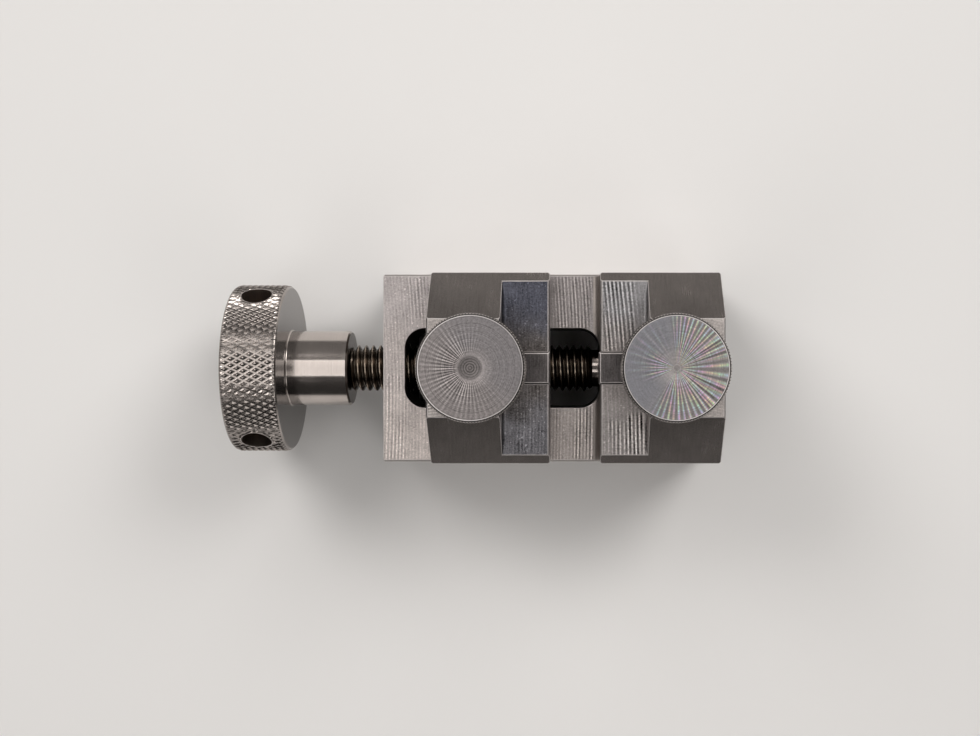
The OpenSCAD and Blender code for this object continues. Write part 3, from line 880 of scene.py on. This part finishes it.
def make_knob():
    """Knurled rim and hub, with three tommy-bar holes, a blind bore and a grub screw hole."""
    face, hub, hub_end_painted_shade, bore = 1, 2, 3, 4
    rim_x1, rim_mid = KNOB_X0 + RIM_T, KNOB_X0 + RIM_T / 2
    chamfer, depth, starts, lean_a, lean_b = 0.5 * MM, 0.22 * MM, 83, 0.62, 0.455
    hole_r, hole_depth, land_w = 2.6 * MM, 7.5 * MM, 0.25 * MM

    def end_limit(t):
        return KNOB_R - chamfer + np.minimum(t - KNOB_X0, rim_x1 - t)

    def land(t, angle):
        found = np.zeros(t.shape, dtype=bool)
        for hole_angle in np.radians((-90, 30, 150)):
            off = KNOB_R * np.sin(angle - hole_angle)
            beside = np.hypot(t - rim_mid, off) < hole_r + land_w
            found |= beside & (np.cos(angle - hole_angle) > 0)
        return found

    bm, (left, right) = knurl_skin(
        KNOB_R, depth, starts, lean_a, lean_b, KNOB_X0, rim_x1, end_limit,
        KNURL_LINES, KNURL_HEIGHTS, land
    )
    face_r, back_r = KNOB_R - chamfer - 0.3 * MM, 10 * MM
    outer = ring(bm, KNOB_X0, face_r)
    bridge(bm, left, outer, face)
    dish, dish_r, centre_r, centre_depth = 0.06 * MM, 9 * MM, 2 * MM, 1.2 * MM
    dish_x = KNOB_X0 + dish
    carry(bm, outer, [
        (KNOB_X0, dish_r), (dish_x, dish_r - dish), (dish_x, 2 * centre_r), (dish_x, centre_r),
        (dish_x + centre_depth / 2, centre_r / 2), (dish_x + centre_depth, 0)
    ], face)
    inner = ring(bm, rim_x1, face_r)
    bridge(bm, right, inner, face)
    fillet, fillet_steps, hub_chamfer = 0.22 * MM, 6, 0.3 * MM
    root = [
        (rim_x1 + fillet * (1 - math.cos(turn)), HUB_R + fillet * (1 - math.sin(turn)))
        for turn in (math.pi / 2 * k / fillet_steps for k in range(fillet_steps + 1))
    ]
    loop = carry(bm, inner, [(rim_x1, back_r), root[0]], face)
    loop = carry(bm, loop, root[1:], hub)
    loop = carry(bm, loop, [(HUB_X1 - hub_chamfer, HUB_R), (HUB_X1, HUB_R - hub_chamfer)], hub)
    bore_r, bore_chamfer, bore_x = 3.55 * MM, 0.2 * MM, HUB_X1 - 15.5 * MM
    mouth = [(HUB_X1, bore_r + bore_chamfer), (HUB_X1 - bore_chamfer, bore_r)]
    # The hub's end face and the bore's mouth take the dark copy of the hub steel, a painted shade.
    loop = carry(bm, loop, mouth, hub_end_painted_shade)
    carry(bm, loop, [(bore_x, bore_r), (bore_x, 0)], bore)
    finishes = ["knurl", "knob_face", "hub", "hub_end_painted_shade", "bore"]
    knob = turned_piece("hand_knob", bm, along_screw(), finishes)
    floor_r, ease, flare, past = KNOB_R - hole_depth, 0.1 * MM, 0.55 * MM, 1 * MM
    point_l, point_r = 1.2 * MM, 0.1 * MM
    drills = []
    for k in range(3):
        aim = Matrix.Rotation(math.pi + TAU * k / 3, 4, "X")
        drills.append((Matrix.Translation((rim_mid, 0, SCREW_Z)) @ aim, [
            (floor_r - point_l, point_r), (floor_r, hole_r - ease),
            (KNOB_R - flare, hole_r - ease), (KNOB_R + past, hole_r + ease)
        ]))
    grub_r, grub_x, in_bore = 2.05 * MM, HUB_X1 - 5.25 * MM, 2 * MM
    aim = Matrix.Translation((grub_x, 0, SCREW_Z)) @ Matrix.Rotation(math.pi, 4, "X")
    drills.append((aim, [(in_bore, grub_r), (HUB_R + past, grub_r)]))
    drill(knob, drills)


def make_lead_screw():
    """M8 thread between the knob and the fixed jaw, with a plain shank and a grooved journal."""
    thread_r, pitch, thread_x1, crest_x = 4 * MM, 1.25 * MM, 20.05 * MM, -19.53 * MM
    shank_r, journal_r, chamfer = 3.5 * MM, 3.25 * MM, 0.5 * MM
    groove_x, groove_w, groove_r = 29.25 * MM, 2.6 * MM, 2.5 * MM
    low, high = SCREW_LOW.x, SCREW_HIGH.x
    bm, (left, right) = thread_skin(thread_r, pitch, HUB_X1, thread_x1, shank_r, journal_r, crest_x)
    carry(bm, left, [(low + chamfer, shank_r), (low, shank_r - chamfer), (low, 0)], 1)
    groove = [
        (groove_x + side * groove_w / 2, radius)
        for side, radius in ((-1, journal_r), (-1, groove_r), (1, groove_r), (1, journal_r))
    ]
    end = [(high - chamfer, journal_r), (high, journal_r - chamfer), (high, 0)]
    carry(bm, right, groove + end, 1)
    turned_piece("lead_screw", bm, along_screw(), ["thread", "journal"], sharp=30)


def make_thumbscrew(node, centre, knurl_finish, top_finish):
    """Knurled head with a faced top, on an M5 stud."""
    top, plain, line = 1, 2, 3
    low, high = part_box(node)
    head_r, head_h = (high.x - low.x) / 2, 5.6 * MM
    head_z, top_z = high.z - head_h, high.z
    chamfer, depth, steep = 0.44 * MM, 0.26 * MM, 1.1
    edge_drop, edge_w = 0.015 * MM, 0.11 * MM
    full_grooves, groove_drop = 12, 0.27 * MM

    def end_limit(t):
        return head_r - chamfer + steep * np.minimum(t - head_z, top_z - t)

    lean = TAU * head_r / THUMB_STARTS * full_grooves / (2 * (head_h - edge_drop - groove_drop))
    bm, (under_rim, top_rim) = knurl_skin(
        head_r, depth, THUMB_STARTS, lean, lean, head_z, top_z - edge_drop, end_limit,
        FINE_KNURL_LINES, FINE_KNURL_HEIGHTS
    )
    face = ring(bm, top_z, head_r - chamfer - edge_w)
    # The band at the top's rim takes the light steel of a painted highlight.
    bridge(bm, top_rim, face, line)
    cone_r, cone, nib_foot, nib_r, nib = 1.25 * MM, 0.03 * MM, 0.30 * MM, 0.12 * MM, 0.006 * MM
    carry(bm, face, [(top_z, radius) for radius in (6 * MM, 4 * MM, cone_r + 0.1 * MM)] + [
        (top_z - cone, cone_r), (top_z - cone, nib_foot), (top_z - nib, nib_r), (top_z - nib, 0)
    ], top)
    under_w, shoulder_r = 0.12 * MM, 5 * MM
    under = ring(bm, head_z, head_r - chamfer - under_w)
    bridge(bm, under_rim, under, plain)
    stud_r, pitch, tip_r, neck_r, neck_h = 2.5 * MM, 0.8 * MM, 1.9 * MM, 1.95 * MM, 0.5 * MM
    tip_z, neck_z = low.z, head_z - neck_h
    stud, (tip, _) = thread_skin(stud_r, pitch, tip_z, neck_z, tip_r, neck_r, tip_z)
    carry(stud, tip, [(tip_z, 0)], plain)
    for stud_face in stud.faces:
        stud_face.material_index = plain
    join(bm, stud)
    neck = carry(bm, rim_at(bm, neck_z), [(head_z, neck_r)], plain)
    shoulder = carry(bm, under, [(head_z, shoulder_r)], plain)
    bridge(bm, neck, shoulder, plain)
    finishes = [knurl_finish, top_finish, "thumb_turned", "rim_painted_highlight"]
    turned_piece(node, bm, upright(centre), finishes, sharp=38)


def make_washer(node, centre):
    """Flat washer with broken edges."""
    low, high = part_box(node)
    outer_r, inner_r, edge = (high.x - low.x) / 2, 2.6 * MM, 0.08 * MM
    bm = bmesh.new()
    first = ring(bm, low.z, inner_r + edge, count=128)
    last = carry(bm, first, [
        (low.z, outer_r - edge), (low.z + edge, outer_r), (high.z - edge, outer_r),
        (high.z, outer_r - edge), (high.z, inner_r + edge), (high.z - edge, inner_r),
        (low.z + edge, inner_r)
    ], 0)
    bridge(bm, last, first, 0)
    turned_piece(node, bm, upright(centre), ["washer"])


def hexagon(across_flats):
    """Radius of a hexagon's outline as a function of the angle."""
    def radius(angle):
        sector = math.pi / 3
        return across_flats / 2 / math.cos((angle + sector / 2) % sector - sector / 2)
    return radius


def socket_screw(bm, low, points, socket_depth):
    """A small screw with a hexagon socket in its lower face, from which its points are counted."""
    flats, entry, cone = 2 * MM, 0.06 * MM, 0.4 * MM
    face = ring(bm, low, points[0][1], count=96)
    carry(bm, face, [
        (low, hexagon(flats + 2 * entry)), (low + entry, hexagon(flats)),
        (low + socket_depth, hexagon(flats)), (low + socket_depth + cone, 0)
    ], 0)
    carry(bm, face, [(low + t, radius) for t, radius in points[1:]], 0)


def make_keeper_screws():
    """The two M3 countersunk screws of the keeper plate, as one piece."""
    low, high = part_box("keeper_screws")
    head_r, shank_r, sunk = (high.y - low.y) / 2, 1.5 * MM, 0.02 * MM
    head_h, head_edge, chamfer, end = 1.28 * MM, 0.08 * MM, 0.4 * MM, high.z - low.z
    bm = bmesh.new()
    for x in (low.x + head_r, high.x - head_r):
        screw = bmesh.new()
        socket_screw(screw, low.z + sunk, [
            (0, head_r - 1.5 * head_edge), (head_edge, head_r - head_edge), (head_h, shank_r),
            (end - chamfer, shank_r), (end - sunk, shank_r - chamfer), (end - sunk, 0)
        ], 1.1 * MM)
        screw.transform(Matrix.Translation((x, 0, 0)))
        join(bm, screw)
    turned_piece("keeper_screws", bm, Matrix.Identity(4), ["oxide"])


def make_set_screw(node, socket_depth, dog=None):
    """M4 set screw. dog is the radius and the length of a dog point at its upper end."""
    low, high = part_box(node)
    radius, end, mouth, edge, tip = 2 * MM, high.z - low.z, 0.3 * MM, 0.2 * MM, 0.1 * MM
    dog_r, dog_l = dog or (0, 0)
    shoulder = end - dog_l
    points = [
        (0, radius - mouth), (mouth, radius), (shoulder - edge, radius), (shoulder, radius - edge)
    ]
    if dog:
        points += [(shoulder, dog_r), (end - tip, dog_r), (end, dog_r - tip)]
    bm = bmesh.new()
    socket_screw(bm, low.z, points + [(end, 0)], socket_depth)
    turned_piece(node, bm, upright(middle(node)), ["oxide"])


for milled_node in ("vise_body", "moving_jaw", "fixed_jaw_key", "moving_jaw_key", "keeper_plate"):
    milled_piece(milled_node)
make_knob()
make_lead_screw()
make_thumbscrew("fixed_jaw_thumbscrew", FIXED_THUMB, "fixed_knurl", "fixed_top")
make_thumbscrew("moving_jaw_thumbscrew", MOVING_THUMB, "moving_knurl", "moving_top")
make_washer("fixed_thumb_washer", FIXED_THUMB)
make_washer("moving_thumb_washer", MOVING_THUMB)
make_keeper_screws()
make_set_screw("screw_retainer", 1.6 * MM, dog=(1.2 * MM, 1.2 * MM))
make_set_screw("knob_grub_screw", 1.2 * MM)


# Floor, lights and camera
LIGHT_Z = 0.75


def make_floor():
    """A plain pale floor, wide enough to run out of sight in every view."""
    side = 3.0
    corners = [(-side, -side, 0), (side, -side, 0), (side, side, 0), (-side, side, 0)]
    mesh = bpy.data.meshes.new("floor")
    mesh.from_pydata(corners, [], [(0, 1, 2, 3)])
    floor = bpy.data.objects.new("floor", mesh)
    floor.location.z = -0.02 * MM
    bpy.context.collection.objects.link(floor)
    g = Graph("floor")
    g.shader.inputs["Base Color"].default_value = (0.78, 0.775, 0.77, 1)
    g.shader.inputs["Roughness"].default_value = 0.75
    mesh.materials.append(g.material)


def area_light(name, place, size, watts, aim=None, spread=180, tone=(1, 0.97, 0.94)):
    """A soft rectangular lamp that faces down, or to a point. A low spread narrows its beam."""
    lamp = bpy.data.lights.new(name, "AREA")
    lamp.shape = "RECTANGLE"
    lamp.size, lamp.size_y = size
    lamp.energy = watts
    lamp.spread = math.radians(spread)
    lamp.color = tone
    holder = bpy.data.objects.new(name, lamp)
    holder.location = place
    if aim:
        holder.rotation_euler = (Vector(aim) - Vector(place)).to_track_quat("-Z", "Y").to_euler()
    holder.visible_camera = False
    bpy.context.collection.objects.link(holder)


def glow(name, x0, x1, y0, y1, radiance):
    """A lamp facing down over a rectangle at LIGHT_Z. The radiance is what a mirror shows of it."""
    width, depth = x1 - x0, y1 - y0
    centre = ((x0 + x1) / 2, (y0 + y1) / 2, LIGHT_Z)
    area_light(name, centre, (width, depth), radiance * math.pi * width * depth)


def make_lights():
    """A soft light overhead, open in the middle where the camera looks through, with brighter
    edges, and four softboxes at the corners that light the floor."""
    middle_x, gap, half_x, half_y, edge = 0.017, 0.118, 0.36, 0.29, 0.03
    x0, x1 = middle_x - half_x, middle_x + half_x
    glow("over_left", x0, middle_x - gap, -half_y, half_y, 1.25)
    glow("over_right", middle_x + gap, x1, -half_y, half_y, 1.0)
    for side in (1, -1):
        near, far = sorted((side * gap, side * half_y))
        glow("over_middle", middle_x - gap, middle_x + gap, near, far, 1.0)
        near, far = sorted((side * half_y, side * (half_y + edge)))
        glow("over_edge", x0, x1, near, far, 2.4)
    for x in (0.55, -0.55):
        for y, watts in ((0.55, 0.62), (-0.55, 0.14)):
            area_light("corner_box", (x, y, 0.62), (0.5, 0.5), watts, aim=(0, 0.04, 0), spread=60)


def make_world():
    """Dim surroundings, a little brighter towards +Y."""
    world = bpy.data.worlds.new("studio")
    world.use_nodes = True
    bpy.context.scene.world = world
    tree = world.node_tree
    back = tree.nodes["Background"]
    place = tree.nodes.new("ShaderNodeTexCoord")
    parts = tree.nodes.new("ShaderNodeSeparateXYZ")
    reach = tree.nodes.new("ShaderNodeMapRange")
    for key, value in {"From Min": -0.6, "From Max": 0.6, "To Min": 0.04, "To Max": 0.20}.items():
        reach.inputs[key].default_value = value
    tree.links.new(place.outputs["Generated"], parts.inputs[0])
    tree.links.new(parts.outputs[1], reach.inputs["Value"])
    tree.links.new(reach.outputs["Result"], back.inputs["Strength"])
    back.inputs["Color"].default_value = (1.0, 0.96, 0.93, 1)


def make_camera():
    """Looks straight down from over the slot, with lens and shift in the photograph's pixels."""
    width, lens, shift = 980, 1370, -87
    data = bpy.data.cameras.new("camera")
    data.sensor_width = 36
    data.lens = lens / width * data.sensor_width
    data.shift_x = shift / width
    data.clip_start = 0.01
    camera = bpy.data.objects.new("camera", data)
    camera.location = (17.38 * MM, 0, 255.35 * MM)
    bpy.context.collection.objects.link(camera)
    bpy.context.scene.camera = camera


make_floor()
make_lights()
make_world()
make_camera()
bpy.context.scene.view_settings.view_transform = "Standard"
